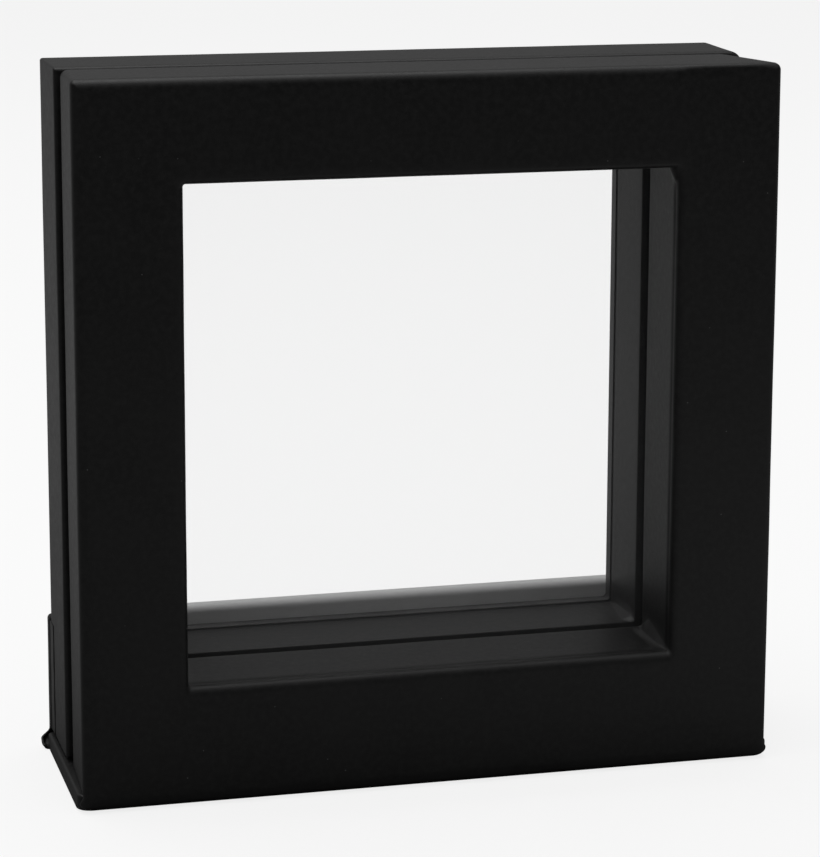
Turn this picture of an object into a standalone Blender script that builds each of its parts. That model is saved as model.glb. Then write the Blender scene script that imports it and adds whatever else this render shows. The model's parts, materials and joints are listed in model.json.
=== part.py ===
"""A floating display frame that stands on its own spine.

Two nearly square half frames of wrapped board stand face to face. Each carries a clear stretch film on
the side that meets the other half, and a small object is held between the two films. A covered
spine board lies under both halves. The covering creases along the spine's front and rear edges,
so each half swings outwards until it lies on the table, and a covered flap board glued to the
back of the rear half carries the rear crease.

X runs to the right, Y from the front to the back and Z up. The origin is at the centre of the
underside. Lengths in this file are millimetres until MM turns them into Blender's metres.
"""

import math

import bmesh
import bpy
from mathutils import Matrix

MM = 0.001

# Driving dimensions
HALF_WIDTH = 100.0          # outer width of a half frame
HALF_HEIGHT = 98.8          # outer height of a half frame
HALF_DEPTH = 15.0           # from the plane where the halves part to the outer face
WINDOW = 70.0               # side of the square window
SPINE_THICKNESS = 2.6       # covered spine board
SPINE_OVERHANG = 0.5        # how far the spine stands out past each side of the halves
FLAP_THICKNESS = 2.5        # covered flap board behind the rear half
FLAP_OVERHANG = 0.15        # how far the flap stands out past each side of the halves
FLAP_RISE = 2.8             # how far the flap stands up into the window
COVER_THICKNESS = 0.4       # covering paper with its glue
TURN_IN = 4.8               # width of covering turned over an edge
FACE_BOARD_THICKNESS = 1.5
CORE_STEP = {"front": 0.6, "rear": 0.0}  # how far the core stands in from the face board's rim
CARD_THICKNESS = 0.65       # card ring that carries a film
CARD_RECESS = 1.2           # how far that card lies back from the edges of the covering
FILM_THICKNESS = 0.15
FILM_SIDE = 92.0
MAGNET_DIAMETER = 6.0
MAGNET_THICKNESS = 2.0
MAGNET_SPACING = 60.0
CREASE_RADIUS = 2.2         # outer radius of the covering where it turns under the frame
CREASE_AXIS_INSET = 0.5     # hinge line, measured in from the outer face
CREASE_AXIS_HEIGHT = 0.75   # hinge line, measured up from the underside

# Clearances and roundings
GLUE_GAP = 0.1              # between layers glued together
GAP = 0.3                   # between solid pieces that touch
FILM_GAP = 0.1              # from each film to the plane where the halves part
EDGE_RADIUS = 1.2           # rounding of a half frame's covered edges
FACE_BOARD_EASE = 0.6       # rounding of the bare face board
RAIL_EASE = 1.3             # rounding of the bare core rails
COVERED_BOARD_RADIUS = 0.6  # rounding of the covered spine and flap edges
OUTER_CORNER_RADIUS = 1.8   # outer corners seen from the front
WINDOW_CORNER_RADIUS = 1.0  # window corners seen from the front
SHARP_CORNER_RADIUS = 0.3   # corners too far in to follow the outer rounding
CORNER_STEPS = 4            # straight runs in one rounded corner

# Places worked out from the sizes above
TOTAL_DEPTH = 2 * HALF_DEPTH + GLUE_GAP + FLAP_THICKNESS
PARTING_Y = HALF_DEPTH - TOTAL_DEPTH / 2
HALF_BOTTOM = SPINE_THICKNESS + GAP
HALF_CENTRE_Z = HALF_BOTTOM + HALF_HEIGHT / 2
BORDER_TOP = (HALF_HEIGHT - WINDOW) / 2
FILM_FAR = FILM_GAP + FILM_THICKNESS
CARD_NEAR = FILM_FAR + GLUE_GAP
CARD_FAR = CARD_NEAR + CARD_THICKNESS
COVER_NEAR = CARD_FAR + GLUE_GAP
RAIL_NEAR = COVER_NEAR + COVER_THICKNESS + GLUE_GAP
BOARD_FAR = HALF_DEPTH - COVER_THICKNESS - GLUE_GAP
BOARD_NEAR = BOARD_FAR - FACE_BOARD_THICKNESS
RAIL_FAR = BOARD_NEAR - GLUE_GAP
SKIN = COVER_THICKNESS + GLUE_GAP      # from a covered surface to the board beneath it
FRONT_Y = -TOTAL_DEPTH / 2
REAR_Y = TOTAL_DEPTH / 2

COLOURS = {
    "black_cover": ((0.012, 0.012, 0.013), 0.55, 0.0),
    "grey_board": ((0.30, 0.29, 0.27), 0.9, 0.0),
    "fibreboard": ((0.36, 0.25, 0.16), 0.85, 0.0),
    "black_card": ((0.008, 0.008, 0.009), 0.8, 0.0),
    "clear_film": ((0.92, 0.94, 0.95), 0.05, 0.0),
    "nickel": ((0.62, 0.60, 0.57), 0.25, 1.0),
    "lining_paper": ((0.014, 0.014, 0.015), 0.7, 0.0),
}


def clear_scene():
    """Remove every object that the file opens with."""
    for obj in list(bpy.data.objects):
        bpy.data.objects.remove(obj)


def new_collection(name):
    collection = bpy.data.collections.new(name)
    bpy.context.scene.collection.children.link(collection)
    return collection


def make_material(kind, name):
    """A Principled material of one kind, for one piece."""
    colour, roughness, metallic = COLOURS[kind]
    material = bpy.data.materials.new(name)
    material.use_nodes = True
    shader = material.node_tree.nodes["Principled BSDF"]
    shader.inputs["Base Color"].default_value = (*colour, 1.0)
    shader.inputs["Roughness"].default_value = roughness
    shader.inputs["Metallic"].default_value = metallic
    if kind == "clear_film":
        shader.inputs["Transmission Weight"].default_value = 1.0
    return material


def finish_piece(obj, kind, parent=None):
    """Give a piece its material and smooth shading, and hang it on its moving parent."""
    obj.data.materials.clear()
    obj.data.materials.append(make_material(kind, obj.name))
    obj.data.shade_smooth()
    obj.data.set_sharp_from_angle(angle=math.radians(35))
    if parent is not None:
        obj.parent = parent
        obj.matrix_parent_inverse = parent.matrix_world.inverted()
    return obj


def make_box(name, low, high, collection):
    """A box between two corners given in millimetres."""
    size = [(b - a) * MM for a, b in zip(low, high)]
    mesh = bpy.data.meshes.new(name)
    shape = bmesh.new()
    bmesh.ops.create_cube(shape, size=1.0, matrix=Matrix.Diagonal((*size, 1.0)))
    shape.to_mesh(mesh)
    shape.free()
    obj = bpy.data.objects.new(name, mesh)
    obj.location = [(a + b) / 2 * MM for a, b in zip(low, high)]
    collection.objects.link(obj)
    return obj


def add_bevel(obj, radius):
    bevel = obj.modifiers.new("rounded_edges", "BEVEL")
    bevel.width = radius * MM
    bevel.segments = 3
    bevel.limit_method = "ANGLE"


def cut_away(obj, cutter):
    """Cut one solid with another, which stays in the file as a hidden wire shape."""
    cutter.hide_render = True
    cutter.display_type = "WIRE"
    cut = obj.modifiers.new("cut_" + cutter.name, "BOOLEAN")
    cut.operation = "DIFFERENCE"
    cut.solver = "EXACT"
    cut.object = cutter


def rounded_rectangle(width, height, radius):
    """Points of a rectangle with round corners, anticlockwise, in millimetres."""
    points = []
    for quarter in range(4):
        middle = math.radians(45 + 90 * quarter)
        centre_x = math.copysign(width / 2 - radius, math.cos(middle))
        centre_y = math.copysign(height / 2 - radius, math.sin(middle))
        for step in range(CORNER_STEPS + 1):
            angle = math.radians(90 * quarter + 90 * step / CORNER_STEPS)
            points.append((centre_x + radius * math.cos(angle), centre_y + radius * math.sin(angle)))
    return points


def add_outline(curve, points):
    """Add a closed outline to a flat curve."""
    spline = curve.splines.new("POLY")
    spline.points.add(len(points) - 1)
    for place, (x, y) in zip(spline.points, points):
        place.co = (x * MM, y * MM, 0.0, 1.0)
    spline.use_cyclic_u = True


def make_ring(name, inset, window_inset, y_low, y_high, collection, edge_radius=0.0):
    """A rectangular ring that follows a half frame.

    inset is measured in from the half's outer edges, and window_inset from the window's edges
    into the border. The ring fills the depth from y_low to y_high.
    """
    outline_inset = inset + edge_radius
    outer = rounded_rectangle(HALF_WIDTH - 2 * outline_inset, HALF_HEIGHT - 2 * outline_inset,
                              max(OUTER_CORNER_RADIUS - outline_inset, SHARP_CORNER_RADIUS))
    outline_window_inset = window_inset + edge_radius
    opening = WINDOW + 2 * outline_window_inset
    window = rounded_rectangle(opening, opening, WINDOW_CORNER_RADIUS + outline_window_inset)
    curve = bpy.data.curves.new(name, "CURVE")
    curve.dimensions = "2D"
    curve.fill_mode = "BOTH"
    curve.extrude = ((y_high - y_low) / 2 - edge_radius) * MM
    curve.bevel_depth = edge_radius * MM
    curve.bevel_resolution = 2
    add_outline(curve, outer)
    add_outline(curve, window[::-1])
    outline = bpy.data.objects.new(name, curve)
    outline.rotation_euler = (math.radians(90), 0.0, 0.0)
    outline.location = (0.0, (y_low + y_high) / 2 * MM, HALF_CENTRE_Z * MM)
    collection.objects.link(outline)
    return curve_to_solid(outline, collection)


def curve_to_solid(outline, collection):
    """Replace a curve object with the same shape as a welded mesh."""
    bpy.context.view_layer.update()
    evaluated = outline.evaluated_get(bpy.context.evaluated_depsgraph_get())
    mesh = bpy.data.meshes.new_from_object(evaluated)
    shape = bmesh.new()
    shape.from_mesh(mesh)
    bmesh.ops.remove_doubles(shape, verts=shape.verts, dist=0.01 * MM)
    bmesh.ops.recalc_face_normals(shape, faces=shape.faces)
    shape.to_mesh(mesh)
    shape.free()
    name = outline.name
    matrix = outline.matrix_world.copy()
    bpy.data.objects.remove(outline)
    obj = bpy.data.objects.new(name, mesh)
    obj.matrix_world = matrix
    collection.objects.link(obj)
    return obj


def make_disc(name, diameter, x, z, y_low, y_high, collection):
    """A short cylinder that lies along Y."""
    mesh = bpy.data.meshes.new(name)
    shape = bmesh.new()
    bmesh.ops.create_cone(shape, cap_ends=True, segments=24, radius1=diameter / 2 * MM,
                          radius2=diameter / 2 * MM, depth=(y_high - y_low) * MM)
    shape.to_mesh(mesh)
    shape.free()
    obj = bpy.data.objects.new(name, mesh)
    obj.rotation_euler = (math.radians(90), 0.0, 0.0)
    obj.location = (x * MM, (y_low + y_high) / 2 * MM, z * MM)
    collection.objects.link(obj)
    return obj


def make_axis_empty(name, y, collection):
    """An empty on a crease, about which one half frame turns."""
    empty = bpy.data.objects.new(name, None)
    empty.location = (0.0, y * MM, CREASE_AXIS_HEIGHT * MM)
    collection.objects.link(empty)
    bpy.context.view_layer.update()
    return empty


def depth_span(side, near, far):
    """Turn distances from the parting plane into low and high Y. side is -1 in front, 1 behind."""
    ends = (PARTING_Y + side * near, PARTING_Y + side * far)
    return min(ends), max(ends)


def make_half_cover(half, side, parts, cutters):
    """The covering of a half frame, open on the parting side between its two turn-ins."""
    cover = make_ring(half + "_cover", 0.0, 0.0, *depth_span(side, COVER_NEAR, HALF_DEPTH), parts,
                      edge_radius=EDGE_RADIUS)
    inside = depth_span(side, COVER_NEAR + COVER_THICKNESS, HALF_DEPTH - COVER_THICKNESS)
    cut_away(cover, make_ring(half + "_cover_hollow", COVER_THICKNESS, COVER_THICKNESS, *inside,
                              cutters, edge_radius=EDGE_RADIUS - COVER_THICKNESS))
    mouth = depth_span(side, 0.0, RAIL_NEAR + GAP)
    cut_away(cover, make_ring(half + "_cover_mouth", TURN_IN, TURN_IN, *mouth, cutters))
    return cover


def make_rails(half, side, parts):
    """The four core rails, the upright ones standing between the level ones.

    In the front half they stand in a little from the rim, so the covering can lean in towards
    the groove.
    """
    y_low, y_high = depth_span(side, RAIL_NEAR, RAIL_FAR)
    outer_x = HALF_WIDTH / 2 - SKIN - CORE_STEP[half]
    inner_x = WINDOW / 2 + SKIN
    outer_z = HALF_HEIGHT / 2 - SKIN - CORE_STEP[half]
    inner_z = WINDOW / 2 + SKIN
    upright_z = inner_z - GAP
    spans = {
        "top_rail": ((-outer_x, inner_z), (outer_x, outer_z)),
        "bottom_rail": ((-outer_x, -outer_z), (outer_x, -inner_z)),
        "left_rail": ((-outer_x, -upright_z), (-inner_x, upright_z)),
        "right_rail": ((inner_x, -upright_z), (outer_x, upright_z)),
    }
    rails = {}
    for name, ((x_low, z_low), (x_high, z_high)) in spans.items():
        low = (x_low, y_low, HALF_CENTRE_Z + z_low)
        high = (x_high, y_high, HALF_CENTRE_Z + z_high)
        rails[name] = make_box(half + "_" + name, low, high, parts)
        add_bevel(rails[name], RAIL_EASE)
    return rails


def make_magnets(half, side, top_rail, parts, cutters):
    """Two disc magnets let into the top rail from the parting side."""
    z = HALF_CENTRE_Z + (WINDOW + BORDER_TOP) / 2
    magnets = []
    for hand, x in (("left", -MAGNET_SPACING / 2), ("right", MAGNET_SPACING / 2)):
        pocket = depth_span(side, RAIL_NEAR - GAP, RAIL_NEAR + MAGNET_THICKNESS + 2 * GLUE_GAP)
        cut_away(top_rail, make_disc(f"{half}_{hand}_pocket", MAGNET_DIAMETER + 2 * GAP, x, z,
                                     *pocket, cutters))
        place = depth_span(side, RAIL_NEAR + GLUE_GAP, RAIL_NEAR + GLUE_GAP + MAGNET_THICKNESS)
        magnets.append(make_disc(f"{half}_{hand}_magnet", MAGNET_DIAMETER, x, z, *place, parts))
    return magnets


def make_film(half, side, parts):
    """The clear film, glued over the card ring on the parting side."""
    y_low, y_high = depth_span(side, FILM_GAP, FILM_FAR)
    return make_box(half + "_film", (-FILM_SIDE / 2, y_low, HALF_CENTRE_Z - FILM_SIDE / 2),
                    (FILM_SIDE / 2, y_high, HALF_CENTRE_Z + FILM_SIDE / 2), parts)


def make_half(half, side, axis, parts, cutters):
    """All the pieces of the front half (side -1) or the rear half (side 1)."""
    finish_piece(make_half_cover(half, side, parts, cutters), "black_cover", axis)
    face_board = make_ring(half + "_face_board", SKIN, SKIN, *depth_span(side, BOARD_NEAR, BOARD_FAR),
                           parts, edge_radius=FACE_BOARD_EASE)
    finish_piece(face_board, "grey_board", axis)
    rails = make_rails(half, side, parts)
    for rail in rails.values():
        finish_piece(rail, "fibreboard", axis)
    for magnet in make_magnets(half, side, rails["top_rail"], parts, cutters):
        finish_piece(magnet, "nickel", axis)
    card = make_ring(half + "_film_card", CARD_RECESS, CARD_RECESS,
                     *depth_span(side, CARD_NEAR, CARD_FAR), parts)
    finish_piece(card, "black_card", axis)
    finish_piece(make_film(half, side, parts), "clear_film", axis)


def make_covered_board(name, low, high, open_axis, open_end, parts, cutters):
    """A board in its covering, which is turned in round the edge of one face.

    open_axis is the axis square to that face, and open_end is -1 for its low end, 1 for its high
    end. Returns the cover and the board.
    """
    cover = make_box(name + "_cover", low, high, parts)
    add_bevel(cover, COVERED_BOARD_RADIUS)
    hollow_low = [value + COVER_THICKNESS for value in low]
    hollow_high = [value - COVER_THICKNESS for value in high]
    cut_away(cover, make_box(name + "_hollow", hollow_low, hollow_high, cutters))
    mouth_low = [value + TURN_IN for value in low]
    mouth_high = [value - TURN_IN for value in high]
    middle = (low[open_axis] + high[open_axis]) / 2
    outside = (low if open_end < 0 else high)[open_axis] + open_end * GAP
    mouth_low[open_axis] = min(middle, outside)
    mouth_high[open_axis] = max(middle, outside)
    cut_away(cover, make_box(name + "_mouth", mouth_low, mouth_high, cutters))
    board_low = [value + SKIN for value in low]
    board_high = [value - SKIN for value in high]
    return cover, make_box(name + "_board", board_low, board_high, parts)


def make_spine(parts, cutters):
    """The covered board that the frame stands on, with a paper lining under the two halves."""
    half_length = HALF_WIDTH / 2 + SPINE_OVERHANG
    edge = CREASE_RADIUS + GLUE_GAP + GAP
    low = (-half_length, FRONT_Y + edge, 0.0)
    high = (half_length, REAR_Y - edge, SPINE_THICKNESS)
    cover, board = make_covered_board("spine", low, high, 2, 1, parts, cutters)
    finish_piece(cover, "black_cover")
    finish_piece(board, "grey_board")
    inset = TURN_IN + GLUE_GAP
    lining = make_box("spine_lining",
                      (low[0] + inset, low[1] + inset, SPINE_THICKNESS - COVER_THICKNESS),
                      (high[0] - inset, high[1] - inset, SPINE_THICKNESS - GLUE_GAP), parts)
    finish_piece(lining, "lining_paper")


def make_flap(axis, parts, cutters):
    """The covered board glued to the back of the rear half, standing a little into its window."""
    half_length = HALF_WIDTH / 2 + FLAP_OVERHANG
    low = (-half_length, REAR_Y - FLAP_THICKNESS, HALF_BOTTOM)
    high = (half_length, REAR_Y, HALF_BOTTOM + BORDER_TOP + FLAP_RISE)
    cover, board = make_covered_board("flap", low, high, 1, -1, parts, cutters)
    finish_piece(cover, "black_cover", axis)
    finish_piece(board, "grey_board", axis)


def make_crease(name, side, parts):
    """The bare covering where it turns under the frame: a quarter turn of sheet about X.

    side is -1 for the front crease and 1 for the rear one.
    """
    mesh = bpy.data.meshes.new(name)
    shape = bmesh.new()
    sheet_radius = CREASE_RADIUS - COVER_THICKNESS / 2
    ends = [shape.verts.new((x * MM, 0.0, -sheet_radius * MM)) for x in (-HALF_WIDTH / 2, HALF_WIDTH / 2)]
    shape.edges.new(ends)
    shape.to_mesh(mesh)
    shape.free()
    obj = bpy.data.objects.new(name, mesh)
    obj.location = (0.0, side * (TOTAL_DEPTH / 2 - CREASE_RADIUS) * MM, CREASE_RADIUS * MM)
    parts.objects.link(obj)
    turn = obj.modifiers.new("quarter_turn", "SCREW")
    turn.axis = "X"
    turn.angle = side * math.radians(90)
    turn.steps = CORNER_STEPS
    turn.render_steps = CORNER_STEPS
    turn.use_merge_vertices = False
    turn.merge_threshold = 0.01 * MM
    thickness = obj.modifiers.new("covering_thickness", "SOLIDIFY")
    thickness.thickness = COVER_THICKNESS * MM
    thickness.offset = 0.0
    thickness.use_even_offset = True
    return obj


def main():
    clear_scene()
    parts = new_collection("floating_frame")
    cutters = new_collection("cutters")
    front_axis = make_axis_empty("front_crease_axis", FRONT_Y + CREASE_AXIS_INSET, parts)
    rear_axis = make_axis_empty("rear_crease_axis", REAR_Y - CREASE_AXIS_INSET, parts)
    make_half("front", -1, front_axis, parts, cutters)
    make_half("rear", 1, rear_axis, parts, cutters)
    make_flap(rear_axis, parts, cutters)
    make_spine(parts, cutters)
    finish_piece(make_crease("front_crease", -1, parts), "black_cover")
    finish_piece(make_crease("rear_crease", 1, parts), "black_cover")


main()
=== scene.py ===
"""Looks of the floating frame: its black covering, boards, card, films and a plain studio.

Lengths are in millimetres until MM turns them into Blender's metres, and places are worked out
from the boxes of the CAD nodes.
"""

import json
import math
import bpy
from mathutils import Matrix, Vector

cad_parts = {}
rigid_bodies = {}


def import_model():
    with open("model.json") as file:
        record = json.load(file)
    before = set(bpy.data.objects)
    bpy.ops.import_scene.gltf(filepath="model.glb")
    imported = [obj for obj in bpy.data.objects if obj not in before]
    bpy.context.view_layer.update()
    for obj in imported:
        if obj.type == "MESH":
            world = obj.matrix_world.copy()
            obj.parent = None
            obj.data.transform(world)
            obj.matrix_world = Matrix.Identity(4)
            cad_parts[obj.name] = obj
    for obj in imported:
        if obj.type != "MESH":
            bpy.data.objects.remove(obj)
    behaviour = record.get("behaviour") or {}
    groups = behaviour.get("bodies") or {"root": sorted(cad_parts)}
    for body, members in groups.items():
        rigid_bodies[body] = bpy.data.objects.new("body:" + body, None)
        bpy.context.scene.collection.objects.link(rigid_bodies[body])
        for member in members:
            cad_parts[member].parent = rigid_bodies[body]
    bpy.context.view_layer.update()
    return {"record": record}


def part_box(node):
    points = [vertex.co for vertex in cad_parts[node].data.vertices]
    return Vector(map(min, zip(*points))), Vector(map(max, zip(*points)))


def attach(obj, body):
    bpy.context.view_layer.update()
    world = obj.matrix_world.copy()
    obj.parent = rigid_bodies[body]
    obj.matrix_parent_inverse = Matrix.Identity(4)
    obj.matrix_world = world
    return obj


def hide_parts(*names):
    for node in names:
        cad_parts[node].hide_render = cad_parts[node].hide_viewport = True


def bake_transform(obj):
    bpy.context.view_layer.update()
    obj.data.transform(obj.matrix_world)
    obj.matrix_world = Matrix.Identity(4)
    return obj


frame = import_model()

from types import SimpleNamespace

import bmesh
import bpy
import numpy as np
from mathutils import Matrix, Vector, noise

MM = 0.001

# Covering
PAPER = 0.35                # thickness of the covering
TURN_IN = 4.0               # covering turned over an edge
PLAY = 0.05                 # play between two layers of covering that lie on each other
SHARPEST = 0.15             # smallest corner radius that covering takes
WINDOW_CORNER = 0.35        # radius of the window's corners
WINDOW_PARTING_EDGE = 0.15  # rounding between the window's walls and the groove
CREASE_SPREAD = 0.35        # half the width of the line pressed in beside a face board
FLARE_REACH = 4.0           # length at each end of a crease over which its ends spread
FLAT_FOLD = 0.5             # size from which a fold across a window corner is quite flat

# Resolution of the covering's mesh
SIDE_STEPS = 46             # runs along one straight side
CORNER_STEPS = 8            # runs round one corner, even, so that a point lies on the diagonal
ARC_STEPS = 6               # runs in one rounded edge
WALL_STEPS = 14             # runs across a side or a window wall
FACE_STEPS = 12             # runs across a face, from its outer edge to the window
SKIRT_STEPS = 10            # runs in the quarter turn of a crease
HIDDEN_RUNS = 4             # points across a turned-in edge that nobody sees

CORNERS = ("bottom_left", "top_left", "top_right", "bottom_right")
COLUMNS = 4 * (CORNER_STEPS + SIDE_STEPS)
LEFT_FOOT = CORNER_STEPS // 2                   # column at the bottom left corner's middle
RIGHT_FOOT = 3 * (CORNER_STEPS + SIDE_STEPS) + CORNER_STEPS // 2


# ---------------------------------------------------------------- places
#
# The places of a covering hold its box, the side that its face is on (inward is the way from the
# face into the half), and these shapes, in millimetres. A pair is (across, up).
#   lean               how far the outer sides stand in at the groove
#   parting_edge       rounding between the outer sides and the groove
#   corners            radius of each outer corner at the face and at the groove
#   face_edge          rounding between the outer sides and the face, face_edge_depth deep
#   window_edge        rounding between the face and the window's walls, window_edge_depth deep
#   top_edge_share     share of that rounding that the window's upper edge has
#   crease             depth of the line beside the face board, pressed in by crease_press
#   jamb_lean          how much wider the window is at the groove
#   flare              how far the crease's ends spread
#   hem                depth to which the skirt's ends reach behind the face
#   skirt_corner       rounding at the foot of the skirt's ends

def pair(across, up):
    """A length across the frame and one up it, for shapes whose sides and top differ."""
    return np.array([across, up], dtype=float)


def span(node):
    """Lowest and highest corner of a CAD node, in millimetres."""
    low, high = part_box(node)
    return np.array(low) / MM, np.array(high) / MM


def front_places():
    """Places and edge shapes of the front half's covering."""
    low, high = span("front_cover")
    board_low = span("front_face_board")[0]
    rail_high = span("front_left_rail")[1]
    skin = board_low[1] - low[1]
    return SimpleNamespace(
        low=low, high=high, face_y=low[1], inward=1, depth=high[1] - low[1],
        window=-2 * (rail_high[0] + skin), skirted=True, lean=pair(0.6, 0.05), parting_edge=0.4,
        corners={"bottom_left": (0.3, 0.3), "top_left": (0.8, 1.1),
                 "top_right": (0.9, 4.0), "bottom_right": (0.3, 0.3)},
        face_edge=pair(1.4, 1.5), face_edge_depth=1.1,
        window_edge=pair(1.2, 1.6), window_edge_depth=1.15, top_edge_share=0.5,
        crease=1.6, crease_press=pair(0.2, 0.2), jamb_lean=0.35,
        flare=0.45, hem=0.95, skirt_corner=0.8,
    )


def rear_places():
    """Places and edge shapes of the rear half's covering."""
    low, high = span("rear_cover")
    return SimpleNamespace(
        low=low, high=high, face_y=high[1], inward=-1, depth=high[1] - low[1],
        window=front_places().window, skirted=False, lean=pair(0.05, 0.05), parting_edge=0.55,
        corners={"bottom_left": (0.4, 0.4), "top_left": (0.4, 0.4),
                 "top_right": (1.5, 2.0), "bottom_right": (0.4, 0.4)},
        face_edge=pair(1.2, 1.2), face_edge_depth=1.2,
        window_edge=pair(0.3, 0.3), window_edge_depth=0.3, top_edge_share=1.0,
        crease=2.4, crease_press=pair(0.06, 0.2), jamb_lean=0.0,
    )


def flap_places():
    """Places and edge shapes of the covered flap behind the rear half."""
    low, high = span("flap_cover")
    return SimpleNamespace(
        low=low, high=high, face_y=high[1], inward=-1, depth=high[1] - low[1],
        window=0.0, skirted=True, lean=pair(0.0, 0.0), parting_edge=1.0,
        corners={"bottom_left": (0.3, 0.3), "top_left": (0.7, 0.7),
                 "top_right": (0.7, 0.7), "bottom_right": (0.3, 0.3)},
        face_edge=pair(0.7, 0.7), face_edge_depth=0.7,
        flare=1.3, hem=0.75, skirt_corner=0.15,
    )


# ---------------------------------------------------------------- mesh helpers

def smooth(value, start, end):
    """0 at start, 1 at end and a smooth rise between them. Works on numbers and arrays."""
    share = np.clip((value - start) / (end - start), 0.0, 1.0)
    return share * share * (3 - 2 * share)


def outline(low, high, radii, square=(), flat=None):
    """Closed outline between two corners, clockwise seen from the front, from the bottom left on.

    radii gives each corner's radius across and up. Corners named in square come to a point, and
    flat turns a corner from round (0) to cut off straight (1).
    """
    runs = []
    for number, corner in enumerate(CORNERS):
        side = pair(-1 if "left" in corner else 1, -1 if "bottom" in corner else 1)
        tip = np.where(side < 0, low, high)
        run = []
        for step in range(CORNER_STEPS + 1):
            angle = math.radians(270 - 90 * number - 90 * step / CORNER_STEPS)
            direction = pair(math.cos(angle), math.sin(angle))
            if corner in square:
                direction = direction / np.abs(direction).max()
            run.append(tip - radii[corner] * (side - direction))
        if flat is not None:
            cut = np.linspace(run[0], run[-1], CORNER_STEPS + 1)
            run = list((1 - flat[corner]) * np.array(run) + flat[corner] * cut)
        runs.append(run)
    points = []
    for run, following in zip(runs, runs[1:] + runs[:1]):
        points += run
        points += list(np.linspace(run[-1], following[0], SIDE_STEPS + 1)[1:-1])
    return np.array(points)


def ring_faces(ring_count, skip=None):
    """Faces between closed rings of COLUMNS points. skip(ring, column) leaves a face out."""
    faces = []
    for ring in range(ring_count - 1):
        for column in range(COLUMNS):
            if skip is not None and skip(ring, column):
                continue
            following = (column + 1) % COLUMNS
            faces.append((ring * COLUMNS + column, ring * COLUMNS + following,
                          (ring + 1) * COLUMNS + following, (ring + 1) * COLUMNS + column))
    return faces


def grid_faces(rows, columns):
    """Faces of a grid whose points are numbered row by row."""
    return [
        (row * columns + column, row * columns + column + 1,
         (row + 1) * columns + column + 1, (row + 1) * columns + column)
        for row in range(rows - 1)
        for column in range(columns - 1)
    ]


def make_object(name, points, faces, flip=False):
    """A mesh object from points in millimetres, without the points that no face uses."""
    mesh = bpy.data.meshes.new(name)
    if flip:
        faces = [face[::-1] for face in faces]
    mesh.from_pydata([tuple(point) for point in np.array(points) * MM], [], faces)
    shape = bmesh.new()
    shape.from_mesh(mesh)
    bmesh.ops.delete(shape, geom=[vert for vert in shape.verts if not vert.link_faces], context="VERTS")
    shape.to_mesh(mesh)
    shape.free()
    obj = bpy.data.objects.new(name, mesh)
    bpy.context.scene.collection.objects.link(obj)
    return obj


def finish_object(obj, material, solid=0.0):
    """Give a piece its material, smooth shading and, for a sheet, its thickness."""
    obj.data.materials.append(material)
    obj.data.shade_smooth()
    if solid:
        thickness = obj.modifiers.new("sheet_thickness", "SOLIDIFY")
        thickness.thickness = solid * MM
        thickness.offset = -1.0
    return obj


def ruffle(obj, layers, seed, lowest=0.0):
    """Push the surface in and out by smooth noise. layers holds (height, size) pairs.

    The push fades out down to the height lowest, so that the frame still stands flat.
    """
    mesh = obj.data
    normals = [vertex.normal.copy() for vertex in mesh.vertices]
    for vertex, normal in zip(mesh.vertices, normals):
        place = vertex.co / MM
        push = sum(height * noise.noise(place / size + Vector((seed, 0.0, 0.0)))
                   for height, size in layers)
        push *= float(smooth(place.z, lowest, lowest + 2.0))
        vertex.co += normal * push * MM
    mesh.update()


# ---------------------------------------------------------------- covering of the halves and flap

def quarter_turn(steps=ARC_STEPS):
    """Angles from 0 to 90 degrees, in radians."""
    return np.radians(np.linspace(0.0, 90.0, steps + 1))


def lean_at(place, depth):
    """How far the outer sides stand in at a depth behind the face."""
    share = (depth - place.face_edge_depth) / (place.depth - place.face_edge_depth)
    return place.lean * max(share, 0.0)


def outer_profile(place):
    """(inset, depth) from the turned-in edge over the outer side to the start of the face."""
    edge_depth = place.face_edge_depth
    parting = place.parting_edge
    profile = [(place.lean + parting + reach, place.depth)
               for reach in np.linspace(TURN_IN, 0.0, HIDDEN_RUNS)[:-1]]
    for angle in quarter_turn():
        profile.append((place.lean + parting * (1 - math.sin(angle)),
                        place.depth - parting * (1 - math.cos(angle))))
    wall_start = place.depth - parting
    depths = np.linspace(wall_start, edge_depth, WALL_STEPS + 1)[1:-1]
    profile += [(lean_at(place, depth), depth) for depth in depths]
    for angle in quarter_turn():
        profile.append((place.face_edge * (1 - math.cos(angle)), edge_depth * (1 - math.sin(angle))))
    return profile


def window_profile(place):
    """(inset, depth) from the window's edge over its wall to the turned-in edge."""
    still = pair(0.0, 0.0)
    wall_end = place.depth - WINDOW_PARTING_EDGE
    profile = []
    for angle in quarter_turn():
        profile.append((place.window_edge * (1 - math.sin(angle)),
                        place.window_edge_depth * (1 - math.cos(angle))))
    profile.append((still, place.crease - CREASE_SPREAD))
    profile.append((place.crease_press, place.crease))
    for depth in np.linspace(place.crease + CREASE_SPREAD, wall_end, WALL_STEPS)[:-1]:
        share = (depth - place.crease) / (wall_end - place.crease)
        profile.append((pair(place.jamb_lean * share, 0.0), depth))
    end = pair(place.jamb_lean, 0.0)
    for angle in quarter_turn():
        profile.append((end + WINDOW_PARTING_EDGE * (1 - math.cos(angle)),
                        wall_end + WINDOW_PARTING_EDGE * math.sin(angle)))
    profile += [(end + reach, place.depth)
                for reach in np.linspace(WINDOW_PARTING_EDGE, TURN_IN, HIDDEN_RUNS)[1:]]
    return profile


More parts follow.
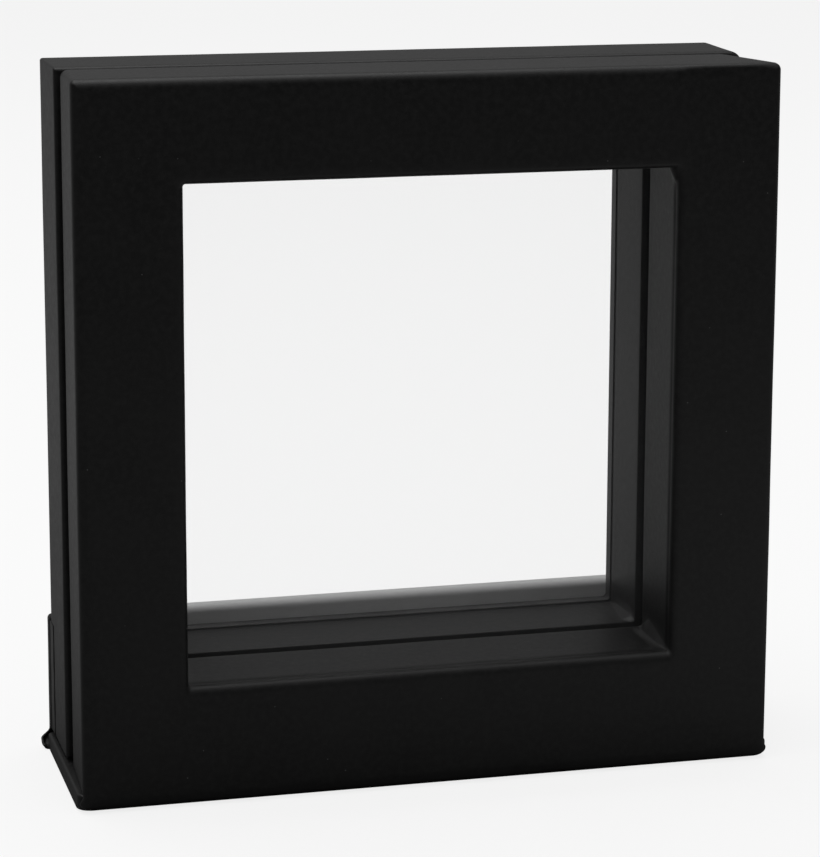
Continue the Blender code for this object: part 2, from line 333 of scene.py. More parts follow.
def outer_ring(place, inset, depth):
    """Outline drawn in by inset, except along a lower edge that runs on as a skirt."""
    share = depth / place.depth
    tighter = inset - lean_at(place, depth)
    radii = {}
    for corner in CORNERS:
        at_face, at_groove = place.corners[corner]
        radii[corner] = np.maximum((1 - share) * at_face + share * at_groove - tighter, SHARPEST)
    low = pair(place.low[0], place.low[2]) + inset * pair(1, 0 if place.skirted else 1)
    high = pair(place.high[0], place.high[2]) - inset
    square = ("bottom_left", "bottom_right") if place.skirted else ()
    return outline(low, high, radii, square)


def fold_share(depth, start, widest, end):
    """0 outside start and end, 1 at widest and straight between them."""
    return max(min((depth - start) / (widest - start), (end - depth) / (end - widest)), 0.0)


def fold_sizes(place, corner, depth):
    """Size across and up of the paper folded across a window corner, at a depth behind the face.

    The front half has a tall fold in its lower corners, widest well before the groove, and a small
    web at its upper right. The rear half has a low fold in its lower corners, widest by the groove.
    """
    crease = place.crease
    front = place.inward > 0
    if front and "bottom" in corner:
        return fold_share(depth, crease, place.depth - 3.6, place.depth - 0.2) * pair(0.35, 1.9)
    if front and corner == "top_right":
        return fold_share(depth, crease - 1.3, crease, crease + 2.4) * pair(0.7, 2.2)
    if not front and "bottom" in corner:
        opening = (depth - crease) / (place.depth - crease)
        closing = (place.depth - 0.1 - depth) / 0.8
        return max(min(opening, closing), 0.0) * pair(1.5, 0.35)
    return pair(0.0, 0.0)


def window_ring(place, inset, depth):
    """Outline of the window, widened by inset, with paper folded across some corners."""
    centre = pair(0.0, (place.low[2] + place.high[2]) / 2)
    half = place.window / 2 + inset
    top_half = place.window / 2 + inset * pair(1, place.top_edge_share)
    folds = {corner: fold_sizes(place, corner, depth) for corner in CORNERS}
    radii = {corner: np.maximum(inset, 0.0) + WINDOW_CORNER + fold for corner, fold in folds.items()}
    flat = {corner: float(smooth(fold.max(), 0.0, FLAT_FOLD)) for corner, fold in folds.items()}
    return outline(centre - half, centre + top_half, radii, flat=flat)


def slit_ring(place):
    """Flat outline in the middle of a face without a window."""
    centre_z = (place.low[2] + place.high[2]) / 2
    margin = (place.high[2] - place.low[2]) / 2 - 2 * SHARPEST
    return outline(pair(place.low[0] + margin, centre_z - 2 * SHARPEST),
                   pair(place.high[0] - margin, centre_z + 2 * SHARPEST), dict.fromkeys(CORNERS, SHARPEST))


def at_depth(place, ring, depth):
    """Points in space of an (x, z) outline that lies depth behind the face."""
    return np.column_stack((ring[:, 0], np.full(len(ring), place.face_y + place.inward * depth), ring[:, 1]))


def crease_radius():
    """Outer radius of the bend under each half."""
    low, high = span("front_crease")
    return high[2] - low[2]


def skirt_row(place, start, recess, height, turn, tail):
    """Points of the covering below a half: one row across its whole width.

    start holds the row's points at the lower edge of the face and recess how far each lies behind
    the face. height is the row's height, turn its angle round the crease and tail how far it has
    run on under the frame.
    """
    radius = crease_radius()
    half_width = np.abs(start[:, 0]).max()
    near_end = smooth(np.abs(start[:, 0]), half_width - FLARE_REACH, half_width)
    spread = float(smooth(height, place.low[2] - 0.2, 0.8))     # full before the covering turns under
    corner = place.skirt_corner
    drop = corner - math.sqrt(corner ** 2 - max(0.0, corner - height) ** 2)
    x = start[:, 0] + np.sign(start[:, 0]) * near_end * (place.flare * spread - drop)
    if turn is None:
        y = place.face_y + place.inward * recess
        z = np.full(len(start), height)
    else:
        y = place.face_y + place.inward * (radius - (radius - recess) * math.cos(turn) + tail)
        z = radius - (radius - recess) * math.sin(turn)
    return np.column_stack((x, y, z))


def add_skirt(place, points, faces, profile):
    """Carry the covering on from the lower edge of the face and round under the frame."""
    last = len(profile) - 1
    hem_rings = [ring for ring, (inset, depth) in enumerate(profile) if depth <= place.hem]
    bottom = list(range(LEFT_FOOT - 1, -1, -1)) + list(range(COLUMNS - 1, RIGHT_FOOT, -1))
    row = [ring * COLUMNS + LEFT_FOOT for ring in hem_rings]
    row += [last * COLUMNS + column for column in bottom]
    row += [ring * COLUMNS + RIGHT_FOOT for ring in reversed(hem_rings)]
    start = np.array([points[index] for index in row])
    recess = np.abs(start[:, 1] - place.face_y)
    radius = crease_radius()
    tail_end = abs(place.face_y) - radius - span("spine_cover")[1][1] + PLAY
    steps = [((place.low[2] + radius) / 2, None, 0.0), (radius, None, 0.0)]
    steps += [(radius * (1 - math.sin(angle)), angle, 0.0) for angle in quarter_turn(SKIRT_STEPS)[1:]]
    steps += [(0.0, math.radians(90.0), tail) for tail in (tail_end / 2, tail_end)]
    for height, turn, tail in steps:
        following = list(range(len(points), len(points) + len(row)))
        points.extend(skirt_row(place, start, recess, height, turn, tail))
        for left in range(len(row) - 1):
            faces.append((row[left], row[left + 1], following[left + 1], following[left]))
        row = following
    return points, faces


def build_cover(place):
    """Points and faces of one covering: outer sides, face, window walls and skirt."""
    profile = outer_profile(place)
    rings = [at_depth(place, outer_ring(place, inset, depth), depth) for inset, depth in profile]
    if place.window:
        walls = [at_depth(place, window_ring(place, inset, depth), depth)
                 for inset, depth in window_profile(place)]
    else:
        walls = [at_depth(place, slit_ring(place), 0.0)]
    for share in np.linspace(0.0, 1.0, FACE_STEPS + 1)[1:-1]:
        rings.append((1 - share) * rings[len(profile) - 1] + share * walls[0])
    rings += walls
    points = [point for ring in rings for point in ring]

    def under_the_skirt(ring, column):
        foot = column < LEFT_FOOT or column >= RIGHT_FOOT
        return place.skirted and foot and ring < len(profile) - 1

    faces = ring_faces(len(rings), under_the_skirt)
    if not place.window:
        faces.append(tuple((len(rings) - 1) * COLUMNS + column for column in range(COLUMNS)))
    if place.skirted:
        points, faces = add_skirt(place, points, faces, profile)
    return points, faces


def tighten_top_edge(points, place):
    """The front half's top edge is wrapped more tightly between two places near its right end."""
    tightness = 0.5
    start, full = 33.0, 38.0
    full_end, end = 47.0, 49.5
    for point in points:
        up = place.high[2] - point[2]
        back = abs(point[1] - place.face_y)
        if up < place.face_edge[1] and back < place.face_edge_depth:
            share = tightness * float(smooth(point[0], start, full) * smooth(point[0], end, full_end))
            point[2] += share * up
            point[1] -= place.inward * share * back
    return points


def make_front_cover(material):
    """Covering of the front half, which runs on as one piece round the front crease."""
    place = front_places()
    points, faces = build_cover(place)
    cover = make_object("front_covering", tighten_top_edge(points, place), faces, flip=True)
    ruffle(cover, ((0.05, 30.0), (0.02, 9.0)), seed=3.0, lowest=1.0)
    finish_object(cover, material, PAPER)
    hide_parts("front_cover", "front_crease")
    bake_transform(cover)
    return cover


def make_front_underside(material):
    """Strip of covering under the front half, from behind the skirt to the groove."""
    place = front_places()
    bottom = place.low[2]
    groove_y = place.face_y + place.depth
    edge = 0.3
    gap = 0.1                       # to the inside of the front half's covering
    front_y = place.face_y + PAPER + gap
    path = [(groove_y, bottom + edge + rise) for rise in np.linspace(TURN_IN, 0.0, HIDDEN_RUNS)[:-1]]
    path += [(groove_y - edge * (1 - math.cos(angle)), bottom + edge * (1 - math.sin(angle)))
             for angle in quarter_turn()]
    path += [(y, bottom) for y in np.linspace(groove_y - edge, front_y + edge, WALL_STEPS)[1:-1]]
    path += [(front_y + edge * (1 - math.sin(angle)), bottom + edge * (1 - math.cos(angle)))
             for angle in quarter_turn()]
    path += [(front_y, bottom + edge + rise) for rise in (0.8, 1.6)]
    half_width = place.high[0] - place.lean[0] - PAPER - gap
    columns = np.linspace(-half_width, half_width, SIDE_STEPS + 1)
    points = [(x, y, z) for y, z in path for x in columns]
    strip = make_object("front_underside", points, grid_faces(len(path), len(columns)))
    finish_object(strip, material, PAPER)
    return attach(strip, "front_half")


def make_rear_cover(material):
    """Covering of the rear half."""
    place = rear_places()
    points, faces = build_cover(place)
    cover = make_object("rear_covering", points, faces)
    ruffle(cover, ((0.05, 30.0), (0.02, 9.0)), seed=11.0)
    finish_object(cover, material, PAPER)
    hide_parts("rear_cover")
    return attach(cover, "rear_half")


def make_flap_cover(material):
    """Covering of the flap, which runs on as one piece round the rear crease."""
    place = flap_places()
    points, faces = build_cover(place)
    cover = make_object("flap_covering", points, faces)
    ruffle(cover, ((0.04, 25.0), (0.02, 7.0)), seed=19.0, lowest=1.0)
    finish_object(cover, material, PAPER)
    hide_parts("flap_cover", "rear_crease")
    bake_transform(cover)
    return cover


def make_flap_lining(material):
    """Pale paper on the flap's inner face and over its top, seen above the window's sill."""
    place = flap_places()
    proud = 0.08                    # of the flap's covering
    inner_y = place.low[1] - proud
    top = place.high[2] + proud
    bend = place.parting_edge + proud
    back_y = place.high[1] - 0.4
    back_bend = 0.44
    foot = place.low[2] + 1.0
    path = [(inner_y, z) for z in np.linspace(foot, top - bend, 10)]
    path += [(inner_y + bend * (1 - math.cos(angle)), top - bend + bend * math.sin(angle))
             for angle in quarter_turn(8)[1:]]
    path += [(y, top) for y in np.linspace(inner_y + bend, back_y, 4)[1:]]
    path += [(back_y + back_bend * math.sin(angle), top - back_bend * (1 - math.cos(angle)))
             for angle in quarter_turn()[1:]]
    margin = 0.9                    # left free at each end
    half_width = place.high[0] - margin
    columns = np.linspace(-half_width, half_width, SIDE_STEPS)
    points = [(x, y, z) for y, z in path for x in columns]
    sheet = make_object("flap_lining", points, grid_faces(len(path), len(columns)))
    finish_object(sheet, material, 0.12)
    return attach(sheet, "rear_half")


def make_flap_tabs(material):
    """Thin ends of the flap's covering, glued round onto the rear half's sides."""
    place = rear_places()
    flap = flap_places()
    outer_x = place.high[0] + PLAY
    unevenness = 0.02
    start, length = 0.5, 3.0        # before the rear face
    path = np.linspace(place.face_y - start, place.face_y - start - length, 6)
    heights = np.linspace(flap.low[2] + 0.3, flap.high[2] - 0.4, 12)
    points = []
    faces = []
    for side in (-1, 1):
        grid = grid_faces(len(path), len(heights))
        faces += [tuple(index + len(points) for index in (face if side > 0 else face[::-1])) for face in grid]
        points += [(side * (outer_x + unevenness * math.sin(z)), y, z) for y in path for z in heights]
    tabs = make_object("flap_tabs", points, faces)
    finish_object(tabs, material, 0.07)
    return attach(tabs, "rear_half")


def make_spine_cover(material):
    """Covering of the spine board, open on top where the lining lies. It fills the front crease."""
    low, high = span("spine_cover")
    lining_low = span("spine_lining")[0]
    edge = 0.4
    corner_radii = {corner: 2.0 if "bottom" in corner else 0.4 for corner in CORNERS}
    outgrowth = pair(0.1, 0.0)      # past the CAD node at each end
    bend = crease_radius() - PAPER - PLAY
    front_run = abs(front_places().face_y) - PAPER - PLAY - abs(low[1])

    def ring(inset, z):
        """Outline in plan at the height z. Its front edge follows the bend of the crease."""
        under = bend - math.sqrt(bend ** 2 - max(0.0, bend + low[2] - z) ** 2)
        radii = {corner: max(radius - inset, SHARPEST) for corner, radius in corner_radii.items()}
        front = min(front_run - under, front_run - inset)
        start = low[:2] + pair(inset, -front if inset <= edge else inset) - outgrowth
        flat = outline(start, high[:2] - inset + outgrowth, radii)
        return np.column_stack((flat, np.full(len(flat), z)))

    opening = lining_low[0] - low[0] + 0.2
    rings = [ring(inset, high[2]) for inset in np.linspace(opening, edge, 4)[:-1]]
    rings += [ring(edge * (1 - math.sin(angle)), high[2] - edge * (1 - math.cos(angle)))
              for angle in quarter_turn()]
    rings += [ring(0.0, z) for z in np.linspace(high[2] - edge, low[2] + edge, 6)[1:-1]]
    rings += [ring(edge * (1 - math.cos(angle)), low[2] + edge * (1 - math.sin(angle)))
              for angle in quarter_turn()]
    rings += [ring(inset, low[2]) for inset in np.linspace(edge, high[1] - 2 * SHARPEST, 8)[1:]]
    points = [point for each in rings for point in each]
    faces = ring_faces(len(rings))
    faces.append(tuple((len(rings) - 1) * COLUMNS + column for column in range(COLUMNS)))
    cover = make_object("spine_covering", points, faces)
    ruffle(cover, ((0.05, 14.0), (0.02, 5.0)), seed=27.0, lowest=0.3)
    finish_object(cover, material, PAPER)
    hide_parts("spine_cover")
    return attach(cover, "spine")


def make_rear_edging(material):
    """Narrow strip round the edge of the rear half's window, slightly paler: a painted highlight."""
    place = rear_places()
    centre = pair(0.0, (place.low[2] + place.high[2]) / 2)
    proud = 0.08
    rounding = 0.2
    width = 0.9                     # on the rear face
    step_up = pair(0.0, 0.12)       # the strip stands higher along the sill
    start = place.crease - 0.3
    profile = [(0.3, start), (0.0, start), (0.0, start - 0.15)]
    profile += [(rounding * (1 - math.sin(angle)), rounding * (1 - math.cos(angle)) - proud)
                for angle in reversed(quarter_turn())]
    profile.append((width, -proud))
    rings = []
    for inset, depth in profile:
        half = place.window / 2 - proud + inset
        radii = dict.fromkeys(CORNERS, pair(0.6, 0.6) + inset)
        ring = outline(centre - half + (1 - inset / width) * step_up, centre + half, radii)
        rings.append(at_depth(place, ring, depth))
    strip = make_object("rear_window_edging", [point for ring in rings for point in ring],
                        ring_faces(len(rings)), flip=True)
    finish_object(strip, material, 0.1)
    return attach(strip, "rear_half")


def make_film(half, material, seed):
    """Clear film, stretched over its card, with the faint waves that such a film keeps."""
    low, high = span(half + "_film")
    steps = 40
    wave_height = 0.03
    wave_size = pair(24.0, 30.0)
    y = (low[1] + high[1]) / 2
    points = []
    for z in np.linspace(low[2], high[2], steps):
        for x in np.linspace(low[0], high[0], steps):
            wave = wave_height * noise.noise(Vector((x / wave_size[0], seed, z / wave_size[1])))
            points.append((x, y + wave, z))
    film = make_object(half + "_clear_film", points, grid_faces(steps, steps))
    finish_object(film, material, 0.05)
    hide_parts(half + "_film")
    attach(film, half + "_half")
    return film


# ---------------------------------------------------------------- materials

def start_material(name, roughness, metallic=0.0, specular=0.5):
    """A Principled material, with its node tree and the object coordinates that patterns use."""
    material = bpy.data.materials.new(name)
    material.use_nodes = True
    tree = material.node_tree
    shader = tree.nodes["Principled BSDF"]
    shader.inputs["Roughness"].default_value = roughness
    shader.inputs["Metallic"].default_value = metallic
    shader.inputs["Specular IOR Level"].default_value = specular
    place = tree.nodes.new("ShaderNodeTexCoord").outputs["Object"]
    return material, tree, shader, place


def add_math(tree, operation, first, second):
    """One sum. Each operand is a number or another node's output."""
    node = tree.nodes.new("ShaderNodeMath")
    node.operation = operation
    for socket, operand in zip(node.inputs, (first, second)):
        if isinstance(operand, (int, float)):
            socket.default_value = operand
        else:
            tree.links.new(operand, socket)
    return node.outputs[0]


def add_noise(tree, place, size, detail=3.0, stretch=None):
    """Noise whose features are about size millimetres across. stretch scales it along X, Y, Z."""
    if stretch is not None:
        mapping = tree.nodes.new("ShaderNodeMapping")
        mapping.inputs["Scale"].default_value = stretch
        tree.links.new(place, mapping.inputs["Vector"])
        place = mapping.outputs["Vector"]
    texture = tree.nodes.new("ShaderNodeTexNoise")
    texture.inputs["Scale"].default_value = 1.0 / (size * MM)
    texture.inputs["Detail"].default_value = detail
    tree.links.new(place, texture.inputs["Vector"])
    return texture.outputs["Fac"]


def add_specks(tree, place, spacing, radius, share):
    """1 inside round specks of a radius, about one in each cube of spacing, in a share of cubes."""
    cells = tree.nodes.new("ShaderNodeTexVoronoi")
    cells.inputs["Scale"].default_value = 1.0 / (spacing * MM)
    tree.links.new(place, cells.inputs["Vector"])
    near = add_range(tree, cells.outputs["Distance"], radius / spacing, 0.5 * radius / spacing, 0.0, 1.0)
    pick = tree.nodes.new("ShaderNodeSeparateColor")
    tree.links.new(cells.outputs["Color"], pick.inputs["Color"])
    chosen = add_math(tree, "LESS_THAN", pick.outputs["Red"], share)
    return add_math(tree, "MULTIPLY", near, chosen)


def add_range(tree, value, low, high, out_low, out_high):
    """Value moved from one range into another, and kept inside it."""
    node = tree.nodes.new("ShaderNodeMapRange")
    for socket, number in zip(("From Min", "From Max", "To Min", "To Max"), (low, high, out_low, out_high)):
        node.inputs[socket].default_value = number
    tree.links.new(value, node.inputs["Value"])
    return node.outputs["Result"]


def add_mix(tree, share, first, second):
    """Colour between first and second. Each is a colour or another node's output."""
    node = tree.nodes.new("ShaderNodeMix")
    node.data_type = "RGBA"
    tree.links.new(share, node.inputs["Factor"])
    for socket, colour in ((node.inputs[6], first), (node.inputs[7], second)):
        if isinstance(colour, tuple):
            socket.default_value = (*colour, 1.0)
        else:
            tree.links.new(colour, socket)
    return node.outputs[2]


def add_bump(tree, shader, heights, distance):
    """Bump from (height output, strength) pairs, chained, with a distance in millimetres."""
    normal = None
    for height, strength in heights:
        node = tree.nodes.new("ShaderNodeBump")
        node.inputs["Strength"].default_value = strength
        node.inputs["Distance"].default_value = distance * MM
        tree.links.new(height, node.inputs["Height"])
        if normal is not None:
            tree.links.new(normal, node.inputs["Normal"])
        normal = node.outputs["Normal"]
    tree.links.new(normal, shader.inputs["Normal"])


def make_cover_material():
    """Fine-grained matte black covering with faint mottling and a little dust."""
    material, tree, shader, place = start_material("black_covering", roughness=0.5, specular=0.5)
    cloud = add_noise(tree, place, 9.0, detail=4.0)
    mottle = add_noise(tree, place, 0.9, detail=4.0)
    grain = add_noise(tree, place, 0.16, detail=2.0)
    dust = add_specks(tree, place, spacing=2.6, radius=0.11, share=0.5)
    ground = add_mix(tree, add_range(tree, cloud, 0.3, 0.7, 0.0, 1.0),
                     (0.0015, 0.0015, 0.0016), (0.0050, 0.0049, 0.0049))
    ground = add_mix(tree, add_range(tree, mottle, 0.4, 0.75, 0.0, 1.0), ground, (0.0120, 0.0118, 0.0118))
    colour = add_mix(tree, dust, ground, (0.12, 0.12, 0.12))
    tree.links.new(colour, shader.inputs["Base Color"])
    tree.links.new(add_range(tree, mottle, 0.3, 0.75, 0.44, 0.54), shader.inputs["Roughness"])
    add_bump(tree, shader, ((grain, 0.55), (mottle, 0.06)), distance=0.02)
    return material


def make_edging_highlight_material():
    """Dark grey paper, smoother than the covering; a little paler as a painted highlight."""
    material, tree, shader, place = start_material("edging_painted_highlight", roughness=0.45, specular=0.5)
    cloud = add_noise(tree, place, 5.0)
    grain = add_noise(tree, place, 0.2)
    share = add_range(tree, cloud, 0.3, 0.7, 0.0, 1.0)
    # These greys paint the highlight of light grazing the rear window's edge.
    tree.links.new(add_mix(tree, share, (0.045, 0.045, 0.046), (0.065, 0.064, 0.064)),
                   shader.inputs["Base Color"])
    tree.links.new(add_range(tree, grain, 0.3, 0.7, 0.40, 0.52), shader.inputs["Roughness"])
    add_bump(tree, shader, ((grain, 0.2),), distance=0.02)
    return material


def make_lining_material():
    """Plain black lining paper with short fibres."""
    material, tree, shader, place = start_material("black_lining", roughness=0.7, specular=0.3)
    fibre = add_noise(tree, place, 0.6, detail=5.0, stretch=(0.3, 1.0, 1.0))
    cloud = add_noise(tree, place, 9.0)
    ground = add_mix(tree, cloud, (0.010, 0.010, 0.011), (0.018, 0.018, 0.018))
    tree.links.new(add_mix(tree, fibre, ground, (0.024, 0.024, 0.024)), shader.inputs["Base Color"])
    tree.links.new(add_range(tree, fibre, 0.3, 0.7, 0.62, 0.78), shader.inputs["Roughness"])
    add_bump(tree, shader, ((fibre, 0.4),), distance=0.04)
    return material


def make_pale_lining_material():
    """Pale grey paper on the inner face of the flap."""
    material, tree, shader, place = start_material("pale_lining", roughness=0.75, specular=0.3)
    fibre = add_noise(tree, place, 0.35, detail=5.0, stretch=(0.35, 1.0, 1.0))
    cloud = add_noise(tree, place, 6.0)
    ground = add_mix(tree, cloud, (0.82, 0.82, 0.82), (0.88, 0.88, 0.88))
    tree.links.new(add_mix(tree, add_range(tree, fibre, 0.3, 0.8, 0.0, 0.6), ground, (0.74, 0.74, 0.74)),
                   shader.inputs["Base Color"])
    tree.links.new(add_range(tree, fibre, 0.3, 0.7, 0.68, 0.82), shader.inputs["Roughness"])
    add_bump(tree, shader, ((fibre, 0.4),), distance=0.03)
    return material


def make_board_material():
    """Bare greyboard: pressed waste paper with darker and lighter flecks."""
    material, tree, shader, place = start_material("greyboard", roughness=0.9, specular=0.2)
    pulp = add_noise(tree, place, 0.8, detail=6.0)
    fleck = add_specks(tree, place, spacing=1.4, radius=0.16, share=0.4)
    ground = add_mix(tree, add_range(tree, pulp, 0.3, 0.7, 0.0, 1.0), (0.24, 0.23, 0.21), (0.36, 0.35, 0.32))
    tree.links.new(add_mix(tree, fleck, ground, (0.12, 0.11, 0.10)), shader.inputs["Base Color"])
    tree.links.new(add_range(tree, pulp, 0.3, 0.7, 0.82, 0.95), shader.inputs["Roughness"])
    add_bump(tree, shader, ((pulp, 0.5),), distance=0.05)
    return material


def make_fibreboard_material():
    """Bare fibreboard core: fine brown wood fibres."""
    material, tree, shader, place = start_material("fibreboard", roughness=0.85, specular=0.25)
    fibre = add_noise(tree, place, 0.5, detail=6.0, stretch=(0.4, 1.0, 1.0))
    cloud = add_noise(tree, place, 5.0)
    ground = add_mix(tree, cloud, (0.30, 0.20, 0.12), (0.42, 0.30, 0.19))
    tree.links.new(add_mix(tree, add_range(tree, fibre, 0.45, 0.7, 0.0, 1.0), ground, (0.22, 0.14, 0.08)),
                   shader.inputs["Base Color"])
    tree.links.new(add_range(tree, fibre, 0.3, 0.7, 0.78, 0.92), shader.inputs["Roughness"])
    add_bump(tree, shader, ((fibre, 0.5),), distance=0.05)
    return material


def make_card_material():
    """Matte black card that carries the film, with lint in its edge."""
    material, tree, shader, place = start_material("black_film_card", roughness=0.85, specular=0.08)
    fibre = add_noise(tree, place, 0.3, detail=4.0)
    lint = add_specks(tree, place, spacing=2.6, radius=0.09, share=0.5)
    ground = add_mix(tree, fibre, (0.0015, 0.0015, 0.0015), (0.0040, 0.0040, 0.0040))
    tree.links.new(add_mix(tree, lint, ground, (0.05, 0.05, 0.05)), shader.inputs["Base Color"])
    tree.links.new(add_range(tree, fibre, 0.3, 0.7, 0.78, 0.92), shader.inputs["Roughness"])
    add_bump(tree, shader, ((fibre, 0.4),), distance=0.03)
    return material


def make_film_material():
    """Clear glossy film, just visible by its sheen and a faint haze."""
    material, tree, shader, place = start_material("clear_film", roughness=0.06)
    haze = add_noise(tree, place, 12.0, detail=4.0)
    streak = add_noise(tree, place, 2.0, detail=3.0, stretch=(1.0, 1.0, 0.15))
    tree.links.new(add_mix(tree, haze, (0.80, 0.81, 0.82), (0.92, 0.92, 0.93)), shader.inputs["Base Color"])
    tree.links.new(add_range(tree, streak, 0.3, 0.7, 0.04, 0.09), shader.inputs["Roughness"])
    add_bump(tree, shader, ((streak, 0.05),), distance=0.02)
    shader.inputs["Alpha"].default_value = 0.02
    return material


def make_nickel_material():
    """Nickel-plated magnet with fine turned scratches."""
    material, tree, shader, place = start_material("nickel_plate", roughness=0.25, metallic=1.0)
    scratch = add_noise(tree, place, 0.3, detail=5.0, stretch=(1.0, 1.0, 0.1))
    cloud = add_noise(tree, place, 1.5)
    tree.links.new(add_mix(tree, cloud, (0.58, 0.55, 0.50), (0.68, 0.66, 0.62)), shader.inputs["Base Color"])
    tree.links.new(add_range(tree, scratch, 0.3, 0.7, 0.18, 0.34), shader.inputs["Roughness"])
    add_bump(tree, shader, ((scratch, 0.1),), distance=0.01)
    return material


def repaint_nodes():
    """Procedural materials for the CAD nodes that stay."""
    looks = {
        "grey_board": make_board_material(),
        "fibreboard": make_fibreboard_material(),
        "black_card": make_card_material(),
        "nickel": make_nickel_material(),
        "lining_paper": make_lining_material(),
    }
    for part in frame["record"]["subparts"]:
        if part["material_slot"] in looks:
            node = bpy.data.objects[part["node"]]
            node.data.materials.clear()
            node.data.materials.append(looks[part["material_slot"]])


# ---------------------------------------------------------------- studio

CAMERA_PLACE = (-111.1, -430.9, 149.0)
CAMERA_YAW = 14.89          # degrees to the right of straight at the front face
CAMERA_PITCH = -11.42
CAMERA_ROLL = 0.24
CAMERA_LENS = 133.3
CAMERA_SHIFT = (-0.0235, -0.0842)
PALE = 0.918                # brightness of the plain pale surroundings
FLOOR_SIZE = 6000.0
POOL_PLACE = (110.0, -110.0, 0.0)   # middle of the lighter pool of light on the floor
POOL_REACH = 190.0
POOL_GLOW = 0.22            # light of the pool's middle, of the floor in front, behind, and as seen
FLOOR_FRONT = 0.025
FLOOR_BACK = 0.20
FLOOR_SEEN = 0.82
BACK_REACH = 200.0          # distance behind the frame at which the floor is at its palest
FLOOR_SHADE = (18.0, 45.0)  # distances from the frame's middle over which the floor's light comes up
FRAME_OUTLINE = (0.3, 1.0, 1.0)     # squeezes the frame's long outline for those distances
DOME_FRONT = 0.012          # light of the dome in front, behind and overhead
DOME_BACK = 0.36
DOME_ABOVE = 0.55


def add_camera():
    """Camera at the viewing angle of the photograph."""
    data = bpy.data.cameras.new("camera")
    data.lens = CAMERA_LENS
    data.shift_x, data.shift_y = CAMERA_SHIFT
    data.clip_end = 20.0
    camera = bpy.data.objects.new("camera", data)
    bpy.context.scene.collection.objects.link(camera)
    turn = (Matrix.Rotation(math.radians(-CAMERA_YAW), 4, "Z")
            @ Matrix.Rotation(math.radians(90 + CAMERA_PITCH), 4, "X")
            @ Matrix.Rotation(math.radians(CAMERA_ROLL), 4, "Z"))
    camera.matrix_world = Matrix.Translation(Vector(CAMERA_PLACE) * MM) @ turn
    bpy.context.scene.camera = camera


def add_vector_math(tree, operation, vector, operand=(0.0, 0.0, 0.0)):
    """One sum of a vector output and a fixed vector."""
    node = tree.nodes.new("ShaderNodeVectorMath")
    node.operation = operation
    node.inputs[1].default_value = operand
    tree.links.new(vector, node.inputs[0])
    return node


def add_floor_light(tree, place):
    """Light that the floor throws on the object: a pool in front, a pale back, shade close by."""
    away = add_vector_math(tree, "DISTANCE", place, tuple(Vector(POOL_PLACE) * MM))
    pool = add_range(tree, away.outputs["Value"], 0.0, POOL_REACH * MM, POOL_GLOW, 0.0)
    parts = tree.nodes.new("ShaderNodeSeparateXYZ")
    tree.links.new(place, parts.inputs[0])
    backward = add_range(tree, parts.outputs["Y"], 0.0, BACK_REACH * MM, FLOOR_FRONT, FLOOR_BACK)
    squeezed = add_vector_math(tree, "MULTIPLY", place, FRAME_OUTLINE)
    clear = add_vector_math(tree, "LENGTH", squeezed.outputs["Vector"])
    near, far = FLOOR_SHADE
    shade = add_range(tree, clear.outputs["Value"], near * MM, far * MM, 0.0, 1.0)
    return add_math(tree, "MULTIPLY", shade, add_math(tree, "ADD", pool, backward))


def add_floor():
    """Plain pale floor. Its own light keeps it as pale as the surroundings, with a soft shadow.

    The object sees a pool of light on it in front to the right, and a lighter floor behind. Close
    to the frame the floor lies in its shade.
    """
    half = FLOOR_SIZE / 2
    steps = 7
    line = np.linspace(-half, half, steps)
    floor = make_object("floor", [(x, y, 0.0) for y in line for x in line], grid_faces(steps, steps))
    material = bpy.data.materials.new("pale_floor")
    material.use_nodes = True
    tree = material.node_tree
    shader = tree.nodes["Principled BSDF"]
    shader.inputs["Base Color"].default_value = (0.2, 0.2, 0.2, 1.0)
    shader.inputs["Roughness"].default_value = 0.9
    shader.inputs["Specular IOR Level"].default_value = 0.1
    shader.inputs["Emission Color"].default_value = (1.0, 1.0, 1.0, 1.0)
    place = tree.nodes.new("ShaderNodeTexCoord").outputs["Object"]
    light = add_floor_light(tree, place)
    seen = tree.nodes.new("ShaderNodeLightPath").outputs["Is Camera Ray"]
    plain = add_math(tree, "MULTIPLY", seen, FLOOR_SEEN)
    hidden = add_math(tree, "SUBTRACT", 1.0, seen)
    glow = add_math(tree, "ADD", plain, add_math(tree, "MULTIPLY", hidden, light))
    tree.links.new(glow, shader.inputs["Emission Strength"])
    floor.data.materials.append(material)


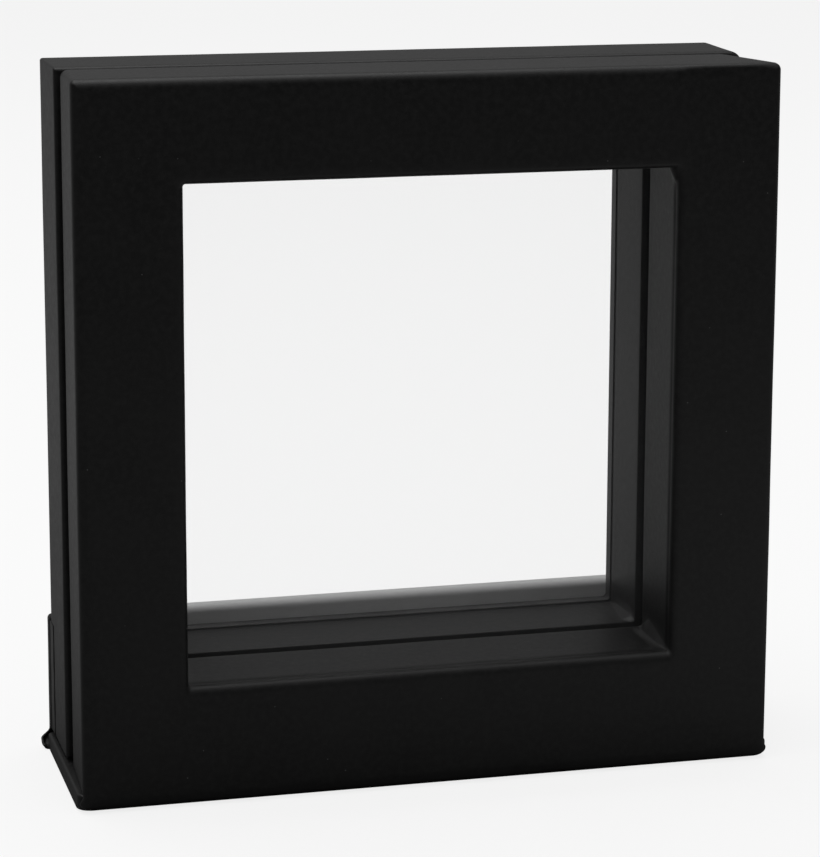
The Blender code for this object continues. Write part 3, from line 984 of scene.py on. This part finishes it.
def add_surroundings():
    """Pale to the camera, and a dimmer soft dome, brighter above and low behind, to the object."""
    world = bpy.data.worlds.new("studio")
    bpy.context.scene.world = world
    world.use_nodes = True
    tree = world.node_tree
    tree.nodes.clear()
    output = tree.nodes.new("ShaderNodeOutputWorld")
    direction = tree.nodes.new("ShaderNodeTexCoord").outputs["Generated"]
    parts = tree.nodes.new("ShaderNodeSeparateXYZ")
    tree.links.new(direction, parts.inputs[0])
    height = add_range(tree, parts.outputs["Z"], 0.0, 1.0, 0.0, 1.0)
    upward = add_math(tree, "MULTIPLY", DOME_ABOVE, add_math(tree, "POWER", height, 2.0))
    lowness = add_math(tree, "POWER", add_math(tree, "SUBTRACT", 1.0, height), 2.0)
    backward = add_math(tree, "MULTIPLY", lowness,
                        add_range(tree, parts.outputs["Y"], 0.0, 1.0, DOME_FRONT, DOME_BACK))
    dome = tree.nodes.new("ShaderNodeBackground")
    tree.links.new(add_math(tree, "ADD", upward, backward), dome.inputs["Strength"])
    plain = tree.nodes.new("ShaderNodeBackground")
    plain.inputs["Strength"].default_value = PALE
    for node in (dome, plain):
        node.inputs["Color"].default_value = (1.0, 1.0, 1.0, 1.0)
    mix = tree.nodes.new("ShaderNodeMixShader")
    tree.links.new(tree.nodes.new("ShaderNodeLightPath").outputs["Is Camera Ray"], mix.inputs["Fac"])
    tree.links.new(dome.outputs[0], mix.inputs[1])
    tree.links.new(plain.outputs[0], mix.inputs[2])
    tree.links.new(mix.outputs[0], output.inputs["Surface"])


def add_softbox(name, place, size, power):
    """A large soft area light that points at the middle of the frame."""
    data = bpy.data.lights.new(name, "AREA")
    data.shape = "RECTANGLE"
    data.size, data.size_y = size[0] * MM, size[1] * MM
    data.energy = power
    light = bpy.data.objects.new(name, data)
    bpy.context.scene.collection.objects.link(light)
    place = Vector(place) * MM
    aim = Vector((0.0, 0.0, 0.05)) - place
    light.matrix_world = Matrix.Translation(place) @ aim.to_track_quat("-Z", "Y").to_matrix().to_4x4()
    light.visible_camera = False


def add_studio():
    """Camera, floor, surroundings and light."""
    add_camera()
    add_floor()
    add_surroundings()
    add_softbox("overhead_softbox", (-150.0, 50.0, 900.0), (900.0, 900.0), 4.2)
    view = bpy.context.scene.view_settings
    view.view_transform = "Standard"
    view.look = "None"


def main():
    cover = make_cover_material()
    make_front_cover(cover)
    make_front_underside(cover)
    make_rear_cover(cover)
    make_rear_edging(make_edging_highlight_material())
    make_flap_cover(cover)
    make_flap_tabs(cover)
    make_flap_lining(make_pale_lining_material())
    make_spine_cover(cover)
    film = make_film_material()
    make_film("front", film, seed=2.0)
    make_film("rear", film, seed=8.0)
    repaint_nodes()
    add_studio()


main()
